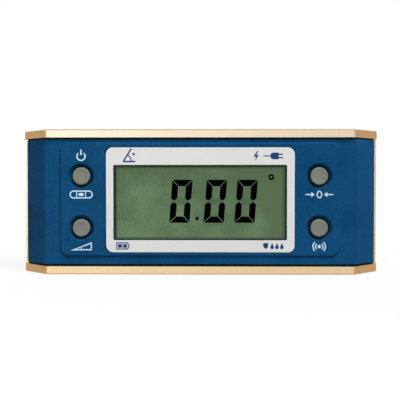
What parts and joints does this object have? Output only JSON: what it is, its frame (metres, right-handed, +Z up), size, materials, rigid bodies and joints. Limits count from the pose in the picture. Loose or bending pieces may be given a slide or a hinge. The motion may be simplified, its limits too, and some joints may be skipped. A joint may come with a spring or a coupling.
{
  "type": "digital spirit level",
  "caption": "Box-shaped digital spirit level: metal frame with chamfered ends, front angle display between push buttons, magnetic grooved base and a flap-covered charging port.",
  "frame": {"origin": "under the middle of the base, on the plane that it stands on", "axes": "+X along the level, to the right as the display is read; +Y from the display to the back; +Z up"},
  "size_m": [0.15, 0.033, 0.0596],
  "materials": {
    "gold_anodised": "gold anodised, fine satin",
    "blue_abs": "moulded blue ABS, light grain",
    "white_plate": "white printed plate, satin",
    "clear_window": "clear polished window",
    "lcd_cell": "grey-green liquid crystal cell",
    "light_guide": "white light guide",
    "black_plastic": "black moulded plastic",
    "black_rubber": "black sealing rubber",
    "grey_rubber": "grey silicone button",
    "zebra_rubber": "layered contact rubber",
    "circuit_board": "green solder resist",
    "steel": "zinc plated steel",
    "nickel": "nickel plated",
    "bare_aluminium": "bent sheet",
    "battery_foil": "silver pouch foil",
    "white_nylon": "moulded nylon",
    "foam": "foam tape"
  },
  "bodies": {
    "case": {"frame": "gold_anodised", "base_magnets": "nickel", "front_gasket": "black_rubber", "front_housing": "blue_abs", "display_bezel": "white_plate", "display_window": "clear_window", "lcd_holder": "black_plastic", "lcd_glass": "lcd_cell", "lcd_backlight": "light_guide", "zebra_strips": "zebra_rubber", "main_board": "circuit_board", "board_screws": "steel", "switch_bodies": "black_plastic", "controller_chip": "black_plastic", "buzzer": "black_plastic", "battery_socket": "white_nylon", "button_seals": "black_rubber", "sensor_bracket": "bare_aluminium", "bracket_screws": "steel", "sensor_board": "circuit_board", "sensor_screws": "steel", "tilt_sensor": "nickel", "rear_cover": "blue_abs", "rear_gasket": "black_rubber", "cover_screws": "steel", "battery_pad": "foam", "battery": "battery_foil", "port_board": "circuit_board", "port_screws": "steel", "port_socket": "nickel"},
    "power_key": {"power_button": "grey_rubber", "power_plunger": "black_plastic"},
    "tilt_key": {"tilt_button": "grey_rubber", "tilt_plunger": "black_plastic"},
    "zero_key": {"zero_button": "grey_rubber", "zero_plunger": "black_plastic"},
    "sound_key": {"sound_button": "grey_rubber", "sound_plunger": "black_plastic"},
    "flap": {"port_flap": "black_rubber"}
  },
  "joints": [
    {"name": "power_press", "type": "slide", "parent": "case", "child": "power_key", "axis": [0, 1, 0], "range_m": [0, 0.0008], "stiffness_N_per_m": 1200, "springref_m": -0.0003},
    {"name": "tilt_press", "type": "slide", "parent": "case", "child": "tilt_key", "axis": [0, 1, 0], "range_m": [0, 0.0008], "stiffness_N_per_m": 1200, "springref_m": -0.0003},
    {"name": "zero_press", "type": "slide", "parent": "case", "child": "zero_key", "axis": [0, 1, 0], "range_m": [0, 0.0008], "stiffness_N_per_m": 1200, "springref_m": -0.0003},
    {"name": "sound_press", "type": "slide", "parent": "case", "child": "sound_key", "axis": [0, 1, 0], "range_m": [0, 0.0008], "stiffness_N_per_m": 1200, "springref_m": -0.0003},
    {"name": "flap_hinge", "type": "hinge", "parent": "case", "child": "flap", "pos_m": [0.031, 0.01545, 0.0428], "axis": [0, 0, 1], "range_deg": [0, 110]}
  ]
}
